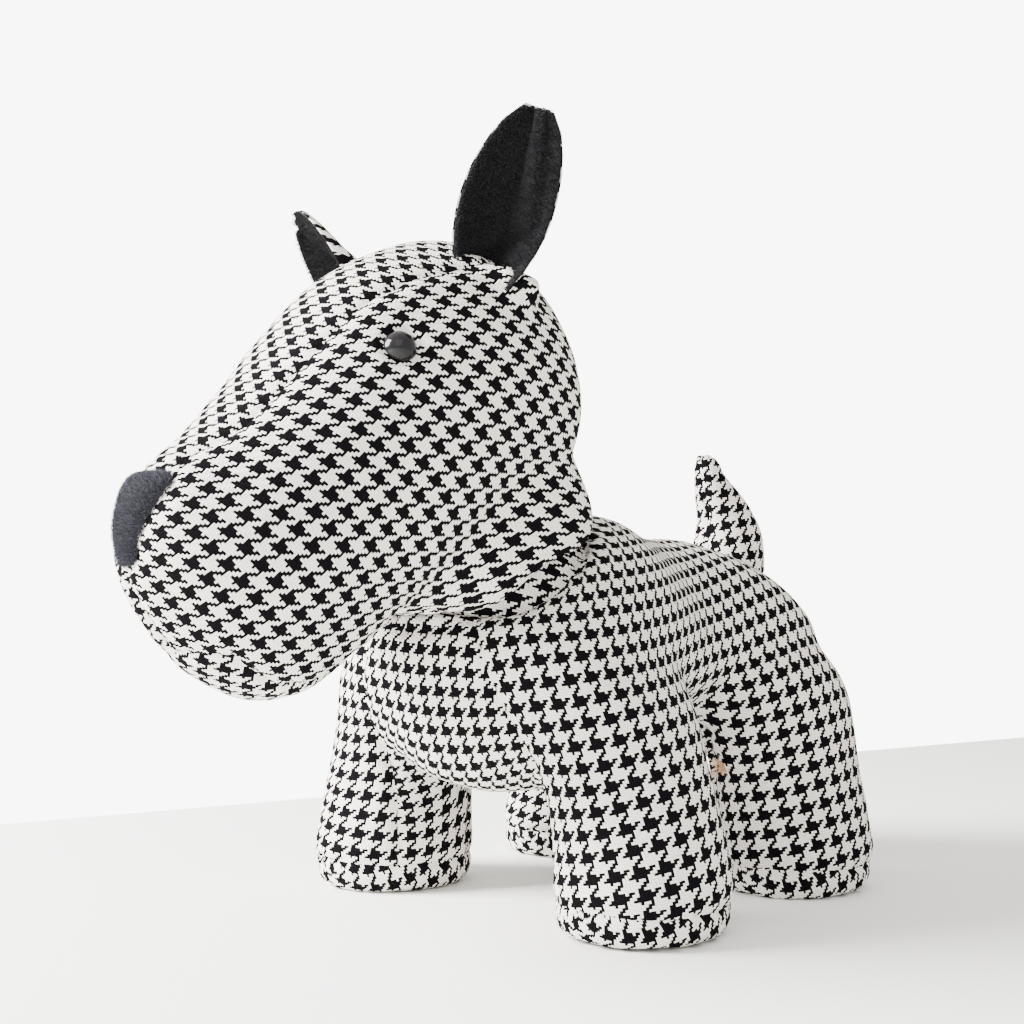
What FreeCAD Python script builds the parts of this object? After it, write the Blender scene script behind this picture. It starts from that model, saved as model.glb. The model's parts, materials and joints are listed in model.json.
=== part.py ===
import FreeCAD, Part
import os
import Sketcher

# A terrier soft toy in woven cloth. It faces -Y, its left side is +X and it stands on Z = 0.
# Head pieces are drawn about the neck pivot, ears and tail about their own, then placed.

V = FreeCAD.Vector
doc = FreeCAD.newDocument("plushDog")
sheet = doc.addObject("Spreadsheet::Sheet", "sizes")
drivingSizes = {
    "cloth": 1.2,           # thickness of the woven cover
    "gap": 0.7,             # running gap between soft pieces that move
    "soleRise": 12,         # height that a sole patch wraps up its foot
    "neckY": -59,
    "neckZ": 127,
    "neckLean": 34,         # forward lean of the neck, degrees
    "neckDome": 40,         # radius of the stuffed neck stump
    "bodySlope": 14,        # fall of the shoulder side of the neck crease over "far"
    "headSlope": 21,        # rise of the head side of it
    "plugBall": 22,
    "plugStub": 13,
    "plugTop": 60,
    "headTurn": -6,         # the head looks slightly to its right, degrees
    "crownHalf": 38,        # half width of the panel over the crown
    "bridgeHalf": 21,       # half width of the same panel at the nose
    "chinHalf": 26,
    "eyeDome": 6,
    "eyeRise": 5,
    "shankRadius": 2.2,
    "shankLength": 15,
    "washerRadius": 8,
    "washerThick": 1.6,
    "earRoll": 4,           # radius of the rolled edge where an ear is sewn in
    "earHalf": 15,          # half length of that seam
    "tailBall": 15,
    "tailY": 104,
    "tailZ": 130,
}
row = 0


def setSize(name, value):
    global row
    row += 1
    sheet.set(f"A{row}", name)
    sheet.set(f"B{row}", str(value))
    sheet.setAlias(f"B{row}", name)


for sizeName, sizeValue in drivingSizes.items():
    setSize(sizeName, sizeValue)
doc.recompute()


def size(name):
    return float(sheet.get(name))


far = 200                   # longer than the toy, for tools that cut right through
cloth = size("cloth")
subParts = []


# Boolean helpers: every result is an object of the document.

def cut(name, base, *tools):
    for index, tool in enumerate(tools):
        step = doc.addObject("Part::Cut", f"{name}Cut{index}")
        step.Base = base
        step.Tool = tool
        base = step
    return base


def common(name, *shapes):
    result = doc.addObject("Part::MultiCommon", f"{name}Common")
    result.Shapes = list(shapes)
    return result


def fuse(name, *shapes):
    result = doc.addObject("Part::MultiFuse", f"{name}Fuse")
    result.Shapes = list(shapes)
    return result


def box(name, low, high):
    item = doc.addObject("Part::Box", f"{name}Box")
    item.Length = high.x - low.x
    item.Width = high.y - low.y
    item.Height = high.z - low.z
    item.Placement.Base = low
    return item


def sphere(name, radius, centre):
    item = doc.addObject("Part::Sphere", f"{name}Ball")
    item.setExpression("Radius", radius)
    item.Placement.Base = centre
    return item


def rod(name, radius, length, placement):
    item = doc.addObject("Part::Cylinder", f"{name}Rod")
    item.setExpression("Radius", radius)
    item.setExpression("Height", length)
    item.Placement = placement
    return item


def cone(name, lowRadius, highRadius, height, placement):
    item = doc.addObject("Part::Cone", f"{name}Cone")
    item.Radius1 = lowRadius
    item.Radius2 = highRadius
    item.Height = height
    item.Placement = placement
    return item


# Sketched bodies, each on one of its own origin planes.

def sketchedBody(name, planeRole, edges):
    body = doc.addObject("PartDesign::Body", name)
    plane = [item for item in body.Origin.OriginFeatures if item.Role == planeRole][0]
    sketch = body.newObject("Sketcher::SketchObject", f"{name}Sketch")
    sketch.AttachmentSupport = [(plane, "")]
    sketch.MapMode = "FlatFace"
    for edge in edges:
        sketch.addGeometry(edge, False)
    last = len(edges) - 1
    for index in range(len(edges)):
        following = 0 if index == last else index + 1
        sketch.addConstraint(Sketcher.Constraint("Coincident", index, 2, following, 1))
    return body, sketch


def line(start, end):
    return Part.LineSegment(V(*start, 0), V(*end, 0))


def polygon(points):
    return [line(points[i], points[(i + 1) % len(points)]) for i in range(len(points))]


def paddedBody(name, planeRole, points, depth, midplane=False):
    body, sketch = sketchedBody(name, planeRole, polygon(points))
    pad = body.newObject("PartDesign::Pad", f"{name}Pad")
    pad.Profile = sketch
    pad.Length = depth
    pad.Midplane = midplane
    return body


def turnedBody(name, edges):
    body, sketch = sketchedBody(name, "XZ_Plane", edges)
    turn = body.newObject("PartDesign::Revolution", f"{name}Turn")
    turn.Profile = sketch
    turn.ReferenceAxis = (sketch, ["V_Axis"])
    turn.Angle = 360
    return body


# Soft forms: lofts through ellipses whose radii are cells of the sheet.

standing = FreeCAD.Rotation(V(1, 0, 0), 90)                        # wide ellipse facing along Y
upright = FreeCAD.Rotation(V(0, 0, 1), V(1, 0, 0), V(0, 1, 0), "XYZ")  # tall ellipse facing along Y
lying = FreeCAD.Rotation(V(0, 0, 1), 90)                           # ellipse long in Y facing up
flat = FreeCAD.Rotation()


def softForm(name, rotation, stations, inset=""):
    rings = []
    last = len(stations) - 1
    for index, (centre, longRadius, shortRadius, inward) in enumerate(stations):
        cell = f"{name}Ring{chr(97 + index)}"
        ring = doc.addObject("Part::Ellipse", f"{cell}{inset}")
        if not inset:
            setSize(f"{cell}Long", longRadius)
            setSize(f"{cell}Short", shortRadius)
        drawnIn = " - sizes.cloth" if inset else ""
        ring.setExpression("MajorRadius", f"sizes.{cell}Long{drawnIn}")
        ring.setExpression("MinorRadius", f"sizes.{cell}Short{drawnIn}")
        atEnd = index in (0, last)
        shift = inward * cloth if inset and atEnd else V(0, 0, 0)
        ring.Placement = FreeCAD.Placement(centre + shift, rotation)
        rings.append(ring)
    loft = doc.addObject("Part::Loft", f"{name}{inset}")
    loft.Sections = rings
    loft.Solid = True
    return loft


def alongStations(rows, tall):
    stations = []
    for along, under, top, half in rows:
        inward = V(0, 1, 0) if along < 0 else V(0, -1, 0)
        rise = (top - under) / 2
        radii = (rise, half) if tall else (half, rise)
        stations.append((V(0, along, (under + top) / 2), *radii, inward))
    return stations


torsoRows = (               # along the body, underside, top, half width
    (-98, 79, 92, 10),
    (-94, 71, 110, 30),
    (-84, 57, 128, 50),
    (-62, 47, 146, 63),
    (-23, 50, 154, 66),
    (23, 57, 142, 61),
    (57, 52, 145, 66),
    (86, 52, 139, 64),
    (111, 62, 128, 44),
    (122, 84, 110, 17),
)
headRows = (                # the same for the head, from the back of the skull to the nose
    (22, 56, 86, 13),
    (14, 32, 106, 36),
    (-3, 18, 124, 51),
    (-26, 7, 132, 56),
    (-54, -16, 125, 56),
    (-79, -30, 110, 53),
    (-105, -39, 77, 47),
    (-127, -29, 50, 37),
    (-142, -9, 35, 20),
    (-148, 1, 24, 9),
)
tailRows = (                # height above the tail's pivot, along, radius
    (-14, 0, 5),
    (-9, 0, 11.5),
    (0, 1, 14.6),
    (10, 3, 14.8),
    (22, 5, 14.2),
    (38, -2, 11),
    (52, -12, 6),
    (60, -19, 2),
)
earRows = (                 # height above the seam, half width, half thickness
    (0, 14.5, 3.6),
    (16, 17, 3.8),
    (34, 15, 3.4),
    (50, 9, 2.6),
    (60, 3.5, 1.2),
)
legs = {                    # side, foot x, foot y, knee x, hip y, half depth at the hip
    "front_left": (1, 66, -46, 56, -46, 40),
    "front_right": (-1, 66, -46, 56, -46, 40),
    "rear_left": (1, 60, 66, 55, 60, 28),
    "rear_right": (-1, 60, 66, 55, 60, 28),
}


def legStations(side, footX, footY, kneeX, hipY, hipDepth):
    rows = (                # height, sideways, along, half depth, half width
        (0, footX, footY, 28, 25),
        (8, footX, footY, 33, 30),
        (28, footX, footY, 35, 31.5),
        (68, kneeX, footY, 37, 31),
        (112, 34, hipY, hipDepth, 24),
    )
    stations = []
    for height, sideways, along, depth, width in rows:
        inward = V(0, 0, 1) if height == 0 else V(0, 0, -1)
        stations.append((V(side * sideways, along, height), depth, width, inward))
    return stations


def heightStations(rows):
    stations = []
    for height, along, radius in rows:
        inward = V(0, 0, 1) if height < 20 else V(0, 0, -1)
        stations.append((V(0, along, height), radius, radius, inward))
    return stations


def earStations(rows):
    return [(V(0, 0, height), wide, thick, V(0, 0, 0)) for height, wide, thick in rows]


# Places of the moving groups.

neckPivot = V(0, size("neckY"), size("neckZ"))
neckLean = FreeCAD.Rotation(V(1, 0, 0), size("neckLean"))
neckPlace = FreeCAD.Placement(neckPivot, neckLean)
headTurn = FreeCAD.Rotation(V(0, 0, 1), size("headTurn"))
headPlace = FreeCAD.Placement(neckPivot, headTurn)
leanInHead = headTurn.inverted().multiply(neckLean)   # the neck's axis as the turned head sees it
tailPivot = V(0, size("tailY"), size("tailZ"))
tailPlace = FreeCAD.Placement(tailPivot, flat)
earPlaces = {               # seam centre, seam direction, leaf direction
    "left": FreeCAD.Placement(
        V(37, -30, 114),
        FreeCAD.Rotation(V(0.70, 0.47, -0.54), V(0, 0, 0), V(0.36, 0.06, 0.93), "ZXY")),
    "right": FreeCAD.Placement(
        V(-37, -30, 114),
        FreeCAD.Rotation(V(0.70, -0.47, 0.54), V(0, 0, 0), V(-0.72, -0.14, 0.67), "ZXY")),
}
sides = {"left": 1, "right": -1}


def eyePlace(side):
    outward = V(0.84 * side, -0.28, 0.44)
    return FreeCAD.Placement(V(43 * side, -76, 80), FreeCAD.Rotation(V(0, 0, 1), outward))


def keep(node, item, placement=None):
    item.Label = node
    if placement is not None:
        item.Placement = placement
    subParts.append(item)


# Body: torso and legs in one skin, opened at the neck and hollowed for the tail's root.

def bodyForm(inset):
    forms = [softForm("torso", standing, alongStations(torsoRows, False), inset)]
    for legName, leg in legs.items():
        forms.append(softForm(legName.replace("_", ""), lying, legStations(*leg), inset))
    drawnIn = " - sizes.cloth" if inset else ""
    sunk = cloth if inset else 0
    dome = sphere(f"dome{inset}", f"sizes.neckDome{drawnIn}", neckPivot)
    whole = fuse(f"necked{inset}", fuse(f"trunk{inset}", *forms), dome)
    above = turnedBody(f"aboveCrease{inset}", polygon([
        (0, 0), (far, -size("bodySlope")), (far, far), (0, far)]))
    above.Placement = FreeCAD.Placement(neckPivot + neckLean.multVec(V(0, 0, -sunk)), neckLean)
    return cut(f"stump{inset}", whole, cut(f"headRoom{inset}", above, dome))


def neckOpening():
    hollow = sphere("plugHollow", "sizes.plugBall + sizes.gap", neckPivot)
    low = size("plugStub") + 4
    flare = cone("plugFlare", low, low + 6, 40, FreeCAD.Placement(
        neckPivot + neckLean.multVec(V(0, 0, 10)), neckLean))
    return hollow, flare


def tailSocket():
    hollow = sphere("tailHollow", "sizes.tailBall + sizes.gap", tailPivot)
    low = size("tailBall") + size("gap")
    flare = cone("tailFlare", low, low + 14, 34, tailPlace)
    return hollow, flare


def halfSpace(name, side):
    low = V(0 if side > 0 else -far, -far, -far)
    return box(name, low, low + V(far, 2 * far, 2 * far))


def makeBody():
    openings = (*neckOpening(), *tailSocket())
    outer = bodyForm("")
    inner = bodyForm("Inner")
    cover = cut("bodyCover", outer, inner, *openings)
    keep("body_filling", cut("bodyFilling", inner, *openings))
    rise = size("soleRise")
    aboveSoles = box("aboveSoles", V(-far, -far, rise), V(far, far, far))
    keep("body_cover", common("upperCover", cover, aboveSoles))
    reach = 45
    for legName, (side, footX, footY, *_) in legs.items():
        centre = V(side * footX, footY, 0)
        foot = box(f"{legName}Foot", centre - V(reach, reach, 0), centre + V(reach, reach, rise))
        keep(f"sole_{legName}", common(f"{legName}Sole", cover, foot))


# Neck: the firm plug of stuffing that the head turns on.

def makeNeck():
    ball = sphere("plug", "sizes.plugBall", V(0, 0, 0))
    stub = rod("plugStub", "sizes.plugStub", "sizes.plugTop", FreeCAD.Placement())
    keep("neck_filling", fuse("neckPlug", ball, stub), neckPlace)


# Head: skull and muzzle in one skin of four panels and a nose patch.

def headForm(inset):
    skull = softForm("head", upright, alongStations(headRows, True), inset)
    raised = cloth if inset else 0
    under = turnedBody(f"underHead{inset}", polygon([
        (0, -far), (far, -far), (far, size("headSlope")), (0, 0)]))
    under.Placement = FreeCAD.Placement(leanInHead.multVec(V(0, 0, raised)), leanInHead)
    deeper = " + sizes.cloth" if inset else ""
    seat = sphere(f"headSeat{inset}", f"sizes.neckDome + sizes.gap{deeper}", V(0, 0, 0))
    return cut(f"skull{inset}", skull, fuse(f"neckRoom{inset}", under, seat))


def earSocket(sideName):
    place = earPlaces[sideName]
    halfLength = size("earHalf") + 0.5
    along = FreeCAD.Rotation(V(0, 0, 1), V(1, 0, 0))
    start = place.multVec(V(-halfLength, 0, 0))
    groove = rod(f"{sideName}EarGroove", "sizes.earRoll + sizes.gap", str(2 * halfLength),
                 FreeCAD.Placement(start, place.Rotation.multiply(along)))
    low = size("earRoll") + size("gap")
    wedge = paddedBody(f"{sideName}EarWedge", "YZ_Plane", (
        (-low, 0), (low, 0), (low + 14, 22), (-low - 14, 22)), 38, True)
    wedge.Placement = place
    return groove, wedge


def eyeHoles(sideName, side):
    place = eyePlace(side)
    level = FreeCAD.Placement(V(0, 0, -17), flat)
    shank = rod(f"{sideName}ShankHole", "sizes.shankRadius + 0.3", "20", place.multiply(level))
    pocketLow = FreeCAD.Placement(V(0, 0, -4.2), flat)
    pocket = rod(f"{sideName}WasherPocket", "sizes.washerRadius + 0.3", "4",
                 place.multiply(pocketLow))
    seat = rod(f"{sideName}EyeSeat", "sizes.eyeDome + 0.1", "10", place)
    return shank, pocket, seat


def makeHead():
    outer = headForm("")
    inner = headForm("Inner")
    plugHole = rod("plugHole", "sizes.plugStub + sizes.gap", "sizes.plugTop + 2 * sizes.gap",
                   FreeCAD.Placement(V(0, 0, 0), leanInHead))
    coverTools = [plugHole]
    fillingTools = [plugHole]
    for sideName, side in sides.items():
        groove, wedge = earSocket(sideName)
        shank, pocket, seat = eyeHoles(sideName, side)
        coverTools += [groove, wedge, shank, seat]
        fillingTools += [groove, wedge, shank, pocket, seat]
    cover = cut("headCover", outer, inner, *coverTools)
    keep("head_filling", cut("headFilling", inner, *fillingTools), headPlace)
    noseFront = box("noseFront", V(-far, -far, -far), V(far, -112, far))
    noseOutline = paddedBody("noseOutline", "XZ_Plane", (
        (-12, 35), (-15, 31), (-4, 4), (4, 4), (15, 31), (12, 35)), 2 * far, True)
    keep("nose_patch", common("nosePatch", cover, noseOutline, noseFront), headPlace)
    afterNose = cut("afterNose", cover, common("noseTool", noseOutline, noseFront))
    crownHalf = size("crownHalf")
    bridgeHalf = size("bridgeHalf")
    crown = paddedBody("crownOutline", "XY_Plane", (
        (-13, -160), (13, -160), (13, -138), (bridgeHalf, -124), (crownHalf, -30),
        (16, 40), (-16, 40), (-crownHalf, -30), (-bridgeHalf, -124), (-13, -138)), far)
    crown.Placement.Base = V(0, 0, 22)
    recess = sphere("recessWall", "sizes.neckDome + 14", V(0, 0, 0))
    noseSides = box("noseSides", V(-far, -far, -far), V(far, -112, 31))
    crownOnly = cut("crownTool", crown, recess, noseSides)
    keep("head_top_gusset", common("headTop", afterNose, crownOnly), headPlace)
    chin = paddedBody("chinOutline", "YZ_Plane", (
        (-160, -18), (-70, -18), (-20, 14), (0, -far), (-160, -far)),
        2 * size("chinHalf"), True)
    keep("chin_gusset", common("chin", afterNose, chin), headPlace)
    cheeks = cut("cheeks", afterNose, crownOnly, chin)
    for sideName, side in sides.items():
        face = common(f"{sideName}Face", cheeks, halfSpace(f"{sideName}Cheek", side))
        keep(f"head_side_{sideName}", face, headPlace)


# Eyes: a glossy dome on a ridged shank, held from inside by a lock washer.

def shankEdges():
    root = size("shankRadius")
    neck = root - 0.2
    points = [(root, 0)]
    ridgeStep = 2
    for ridge in range(1, 7):
        depth = -2 - ridge * ridgeStep
        points += [(neck, depth + 0.6), (root, depth + 0.3), (root, depth)]
    points.append((neck, points[-1][1] - 0.3))
    points.append((0, points[-1][1] - 0.6))
    points.reverse()
    return points


def makeEyes():
    dome = size("eyeDome")
    rise = size("eyeRise")
    ball = (dome ** 2 + rise ** 2) / (2 * rise)
    slant = ball * 0.5 ** 0.5
    points = [*shankEdges(), (dome, 0)]
    edges = [line(points[i], points[i + 1]) for i in range(len(points) - 1)]
    crown = V(slant, rise - ball + slant, 0)
    edges.append(Part.Arc(V(dome, 0, 0), crown, V(0, rise, 0)))
    edges.append(line((0, rise), points[0]))
    bore = size("shankRadius") + 0.05
    rim = size("washerRadius")
    top = -2.3
    low = top - size("washerThick")
    for sideName, side in sides.items():
        place = headPlace.multiply(eyePlace(side))
        keep(f"eye_{sideName}", turnedBody(f"{sideName}Eye", edges), place)
        ring = polygon([(bore, low), (rim, low), (rim, top), (bore, top)])
        keep(f"eye_washer_{sideName}", turnedBody(f"{sideName}Washer", ring), place)


# Ears: a woven back and a pile front, sewn into the head along a rolled edge.

def makeEars():
    for sideName in sides:
        place = headPlace.multiply(earPlaces[sideName])
        leaf = softForm(f"{sideName}ear", flat, earStations(earRows))
        along = FreeCAD.Rotation(V(0, 0, 1), V(1, 0, 0))
        halfLength = size("earHalf")
        roll = rod(f"{sideName}EarRoll", "sizes.earRoll", str(2 * halfLength),
                   FreeCAD.Placement(V(-halfLength, 0, 0), along))
        ear = fuse(f"{sideName}Ear", leaf, roll)
        behind = box(f"{sideName}EarBehind", V(-far, 0, -far), V(far, far, far))
        ahead = box(f"{sideName}EarAhead", V(-far, -far, -far), V(far, 0, far))
        keep(f"ear_back_{sideName}", common(f"{sideName}EarBack", ear, behind), place)
        keep(f"ear_inner_{sideName}", common(f"{sideName}EarInner", ear, ahead), place)


# Tail: a curved thorn with a ball of stuffing at its root.

def makeTail():
    outer = softForm("tail", flat, heightStations(tailRows))
    inner = softForm("tail", flat, heightStations(tailRows), "Inner")
    cover = cut("tailCover", outer, inner)
    for sideName, side in sides.items():
        half = common(f"{sideName}Tail", cover, halfSpace(f"{sideName}TailHalf", side))
        keep(f"tail_{sideName}", half, tailPlace)
    around = box("aroundTail", V(-far, -far, -far), V(far, far, far))
    keep("tail_filling", common("tailFilling", inner, around), tailPlace)


def centreAll():
    """Move every piece so that the origin is under the middle of the whole toy."""
    bounds = FreeCAD.BoundBox()
    for item in subParts:
        bounds.add(item.Shape.optimalBoundingBox(False))
    shift = V(-bounds.Center.x, -bounds.Center.y, -bounds.ZMin)
    for item in subParts:
        item.Placement.Base += shift
    doc.recompute()
    return shift, bounds


def checkAll():
    for item in doc.Objects:
        if "Invalid" in item.State or "Error" in item.State:
            raise RuntimeError(f"{item.Name} failed: {item.State}")
    for item in subParts:
        if item.Shape.isNull() or not item.Shape.isValid() or not item.Shape.Solids:
            raise RuntimeError(f"{item.Label} has no valid solid")


def report(shift, bounds):
    print("overall", [round(v, 2) for v in (bounds.XLength, bounds.YLength, bounds.ZLength)])
    for label, place in (("neck", neckPlace), ("tail", tailPlace),
                         ("ear_left", headPlace.multiply(earPlaces["left"])),
                         ("ear_right", headPlace.multiply(earPlaces["right"]))):
        at = place.Base + shift
        print(label, [round(v, 3) for v in at],
              "x", [round(v, 4) for v in place.Rotation.multVec(V(1, 0, 0))],
              "z", [round(v, 4) for v in place.Rotation.multVec(V(0, 0, 1))])
    for item in subParts:
        print(item.Label, len(item.Shape.Solids), round(item.Shape.Volume / 1000, 2), "cm3")


makeBody()
makeNeck()
makeHead()
makeEyes()
makeEars()
makeTail()
doc.recompute()
checkAll()
moved, whole = centreAll()
checkAll()
report(moved, whole)
os.makedirs("parts", exist_ok=True)
for piece in subParts:
    piece.Shape.exportStep(f"parts/{piece.Label}.step")
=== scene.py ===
import json
import math
import bmesh
import bpy
import numpy as np
from mathutils import Matrix, Vector, kdtree, noise


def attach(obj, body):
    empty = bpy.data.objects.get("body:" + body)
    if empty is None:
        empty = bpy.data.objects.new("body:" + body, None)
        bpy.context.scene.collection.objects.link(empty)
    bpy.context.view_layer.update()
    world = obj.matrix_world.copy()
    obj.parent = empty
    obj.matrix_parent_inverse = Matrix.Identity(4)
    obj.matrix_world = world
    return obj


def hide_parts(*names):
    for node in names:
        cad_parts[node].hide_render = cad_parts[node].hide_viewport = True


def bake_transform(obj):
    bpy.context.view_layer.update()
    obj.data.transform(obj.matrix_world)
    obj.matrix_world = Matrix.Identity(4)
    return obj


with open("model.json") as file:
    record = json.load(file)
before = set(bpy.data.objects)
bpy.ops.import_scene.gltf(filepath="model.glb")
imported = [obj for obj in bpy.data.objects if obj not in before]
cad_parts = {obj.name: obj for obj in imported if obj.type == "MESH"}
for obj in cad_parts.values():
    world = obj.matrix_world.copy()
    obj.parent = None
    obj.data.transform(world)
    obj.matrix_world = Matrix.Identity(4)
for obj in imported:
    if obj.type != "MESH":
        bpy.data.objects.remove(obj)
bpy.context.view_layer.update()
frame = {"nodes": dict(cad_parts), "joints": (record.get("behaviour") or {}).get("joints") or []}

mm = 0.001
joints = {joint["name"]: joint for joint in frame["joints"]}
neckPivot = Vector(joints["head_turn"]["pos_m"])
neckAxis = Vector(joints["head_turn"]["axis"]).normalized()
tailPivot = Vector(joints["tail_bend"]["pos_m"])
headTurn = math.radians(-6)      # the head looks a little to its right
headPlace = Matrix.Translation(neckPivot) @ Matrix.Rotation(headTurn, 4, "Z")
neckForward = 59 * mm            # from the middle of the body to the neck
bodyPlace = Matrix.Translation(Vector((0, neckPivot.y + neckForward, 0)))
collection = bpy.context.scene.collection


def take(source, *keys):
    return [source[key] for key in keys]


# Shader sums are written as Python expressions on this wrapper.

class Wire:
    def __init__(self, tree, socket):
        self.tree = tree
        self.socket = socket

    def node(self, kind, settings=None, values=None, output=0):
        item = self.tree.nodes.new(kind)
        for key, value in (settings or {}).items():
            setattr(item, key, value)
        for key, value in (values or {}).items():
            if isinstance(value, Wire):
                self.tree.links.new(value.socket, item.inputs[key])
            else:
                item.inputs[key].default_value = value
        return Wire(self.tree, item.outputs[output])

    def sum(self, operation, *terms):
        return self.node("ShaderNodeMath", {"operation": operation}, dict(enumerate(terms)))

    def floor(self):
        return self.sum("FLOOR", self)

    def fraction(self):
        return self.sum("FRACT", self)

    def sine(self):
        return self.sum("SINE", self)

    def noise(self, where, scale, detail=3.0, roughness=0.5):
        return self.node("ShaderNodeTexNoise", None, {
            "Vector": where, "Scale": scale, "Detail": detail, "Roughness": roughness})

    def mix(self, amount, low, high):
        return self.node("ShaderNodeMix", {"data_type": "RGBA"}, {0: amount, 6: low, 7: high}, 2)

    def blendValue(self, amount, low, high):
        return self.node("ShaderNodeMix", {"data_type": "FLOAT"}, {0: amount, 2: low, 3: high}, 0)

    def bump(self, height, strength, distance):
        return self.node("ShaderNodeBump", None, {
            "Height": height, "Strength": strength, "Distance": distance})


def overload(name, operation):
    setattr(Wire, f"__{name}__", lambda self, other: self.sum(operation, self, other))
    setattr(Wire, f"__r{name}__", lambda self, other: self.sum(operation, other, self))


for operatorName, mathOperation in (
        ("add", "ADD"), ("sub", "SUBTRACT"), ("mul", "MULTIPLY"), ("truediv", "DIVIDE"),
        ("mod", "FLOORED_MODULO"), ("lt", "LESS_THAN")):
    overload(operatorName, mathOperation)


def newMaterial(name, fixed):
    material = bpy.data.materials.new(name)
    material.use_nodes = True
    tree = material.node_tree
    shader = tree.nodes["Principled BSDF"]
    for key, value in fixed.items():
        shader.inputs[key].default_value = value
    return material, shader, Wire(tree, None)


def feed(shader, key, wire):
    wire.tree.links.new(wire.socket, shader.inputs[key])


clothWeave = {
    "yarnPitch": 0.95 * mm,      # eight yarns make one repeat of the check
    "pale": (0.92, 0.89, 0.84, 1),
    "paleShade": (0.76, 0.71, 0.64, 1),
    "dark": (0.0015, 0.0014, 0.002, 1),
    # the darker hairs of the dark yarn, and also the painted shade in the gaps between the yarns
    "darkHairsAndGapShade": (0.006, 0.0055, 0.0065, 1),
    "yarnRelief": 0.35 * mm,
    "waver": 0.45 * mm,          # how far the weave wanders
}


def makeHoundstooth():
    material, shader, w = newMaterial("houndstoothCloth", {
        "Roughness": 0.85, "Specular IOR Level": 0.01})
    pitch = clothWeave["yarnPitch"]
    spot = w.node("ShaderNodeTexCoord", None, None, "Object")
    flatSpot = w.node("ShaderNodeUVMap", {"uv_map": "weave"})
    across = w.node("ShaderNodeSeparateXYZ", None, {0: flatSpot})
    along = Wire(w.tree, across.socket.node.outputs[1])
    driftA = (w.noise(spot, 55.0) - 0.5) * (2 * clothWeave["waver"])
    driftB = (w.noise(spot, 67.0) - 0.5) * (2 * clothWeave["waver"])
    u = (across + driftA) / pitch
    v = (along + driftB) / pitch
    warp = u.floor()
    weft = v.floor()
    warpPale = ((warp / 4).floor() % 2) < 0.5
    weftPale = ((weft / 4).floor() % 2) < 0.5
    warpOver = ((warp - weft) % 4) < 1.5
    pale = w.blendValue(warpOver, weftPale, warpPale)
    hairs = w.noise(spot, 2600.0, 2.0)
    cloud = w.noise(spot, 38.0, 4.0)
    paleTone = w.mix(hairs * 0.55 + cloud * 0.35, clothWeave["pale"], clothWeave["paleShade"])
    darkTone = w.mix(hairs, clothWeave["dark"], clothWeave["darkHairsAndGapShade"])
    toned = w.mix(pale, darkTone, paleTone)
    warpRise = (u.fraction() * math.pi).sine()
    weftRise = (v.fraction() * math.pi).sine()
    rise = w.blendValue(warpOver, weftRise, warpRise)
    gap = 1 - rise
    # painted shade: the gaps between the yarns are darkened towards the dark colour, in place of
    # the shade that falls between them
    shaded = w.mix(gap * gap * gap * 0.55, toned, clothWeave["darkHairsAndGapShade"])
    feed(shader, "Base Color", shaded)
    feed(shader, "Roughness", 0.78 + hairs * 0.18)
    relief = rise + hairs * 0.5 + cloud * 0.6
    feed(shader, "Normal", w.bump(relief, 0.55, clothWeave["yarnRelief"]))
    return material


def makePile(name, deep, tip, sheen):
    material, shader, w = newMaterial(name, {
        "Roughness": 0.9, "Sheen Weight": sheen, "Sheen Roughness": 0.4,
        "Sheen Tint": (0.75, 0.76, 0.82, 1), "Specular IOR Level": 0.08})
    spot = w.node("ShaderNodeTexCoord", None, None, "Object")
    fibre = w.noise(spot, 1900.0, 3.0)
    brushed = w.noise(spot, 90.0, 4.0)
    tone = fibre * 0.6 + brushed * 0.55
    feed(shader, "Base Color", w.mix(tone, deep, tip))
    feed(shader, "Roughness", 0.8 + fibre * 0.18)
    feed(shader, "Normal", w.bump(fibre + brushed * 0.8, 0.8, 0.4 * mm))
    return material


def makeEyePlastic():
    material, shader, w = newMaterial("glossyEyePlastic", {
        "Coat Weight": 0.12, "Coat Roughness": 0.02, "IOR": 1.5, "Specular IOR Level": 0.12})
    spot = w.node("ShaderNodeTexCoord", None, None, "Object")
    wear = w.noise(spot, 420.0, 5.0)
    scuffs = w.noise(spot, 1500.0, 2.0)
    feed(shader, "Base Color", w.mix(
        wear, (0.004, 0.004, 0.005, 1), (0.014, 0.013, 0.014, 1)))
    feed(shader, "Roughness", 0.04 + wear * 0.05)
    feed(shader, "Normal", w.bump(scuffs, 0.05, 0.02 * mm))
    return material


def makeGrained(name, fixed, grain, low, high, strength, depth):
    material, shader, w = newMaterial(name, fixed)
    cloud = w.noise(w.node("ShaderNodeTexCoord", None, None, "Object"), *grain)
    feed(shader, "Base Color", w.mix(cloud, low, high))
    feed(shader, "Normal", w.bump(cloud, strength, depth))
    return material


houndstooth = makeHoundstooth()
blackPile = makePile(
    "blackEarPile", (0.0008, 0.0008, 0.001, 1), (0.016, 0.016, 0.018, 1), 0.09)
charcoalPile = makePile(
    "charcoalNosePile", (0.010, 0.010, 0.015, 1), (0.048, 0.049, 0.066, 1), 0.25)
eyePlastic = makeEyePlastic()
washerPlastic = makeGrained("mouldedWasherPlastic", {"Roughness": 0.45}, (700.0, 4.0),
                            (0.62, 0.62, 0.60, 1), (0.78, 0.78, 0.75, 1), 0.2, 0.1 * mm)
stuffing = makeGrained("fibreStuffing", {"Roughness": 0.95, "Sheen Weight": 0.4},
                       (130.0, 6.0, 0.7), (0.70, 0.69, 0.66, 1), (0.9, 0.9, 0.88, 1),
                       1.0, 1.5 * mm)
threadFinish = makeGrained("tanThread", {"Roughness": 0.8, "Sheen Weight": 0.5}, (1400.0, 3.0),
                           (0.42, 0.17, 0.05, 1), (0.72, 0.38, 0.15, 1), 0.5, 0.1 * mm)
print("finishes made")


# Soft shapes: a copy of CAD solids, remeshed, smoothed and swollen by a cloth simulation.

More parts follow.
